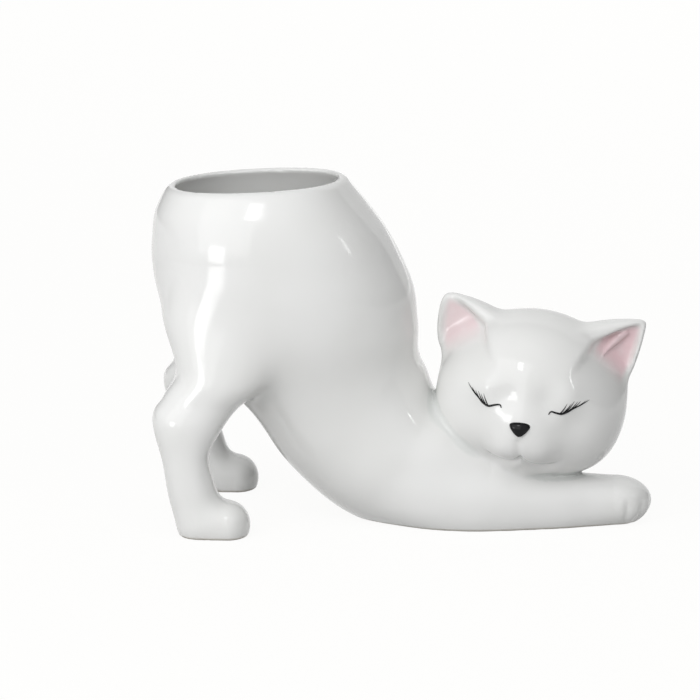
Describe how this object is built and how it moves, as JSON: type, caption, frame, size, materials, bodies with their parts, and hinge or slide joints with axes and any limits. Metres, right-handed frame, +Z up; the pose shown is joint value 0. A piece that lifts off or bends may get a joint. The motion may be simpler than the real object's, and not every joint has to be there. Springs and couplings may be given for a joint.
{
  "type": "animal shaped planter",
  "caption": "White glazed ceramic planter shaped as a stretching cat: open mouth in the raised rump, forelegs flat, head turned to the side.",
  "frame": {"origin": "middle of the footprint of the bounding box, on the table that the feet stand on", "axes": "+X towards the forepaws, +Y towards the cat's left side, away from the face, +Z up"},
  "size_m": [0.1452, 0.0748, 0.0994],
  "materials": {
    "white_glaze": "glossy",
    "pink_glaze": "glossy",
    "black_enamel": "glossy"
  },
  "bodies": {
    "root": {"pot_body": "white_glaze", "hind_leg_right": "white_glaze", "hind_leg_left": "white_glaze", "foreleg_right": "white_glaze", "foreleg_left": "white_glaze", "head": "white_glaze", "ear_right": "white_glaze", "ear_left": "white_glaze", "ear_lining_right": "pink_glaze", "ear_lining_left": "pink_glaze", "nose": "black_enamel", "lash_right": "black_enamel", "lash_left": "black_enamel"}
  },
  "joints": []
}
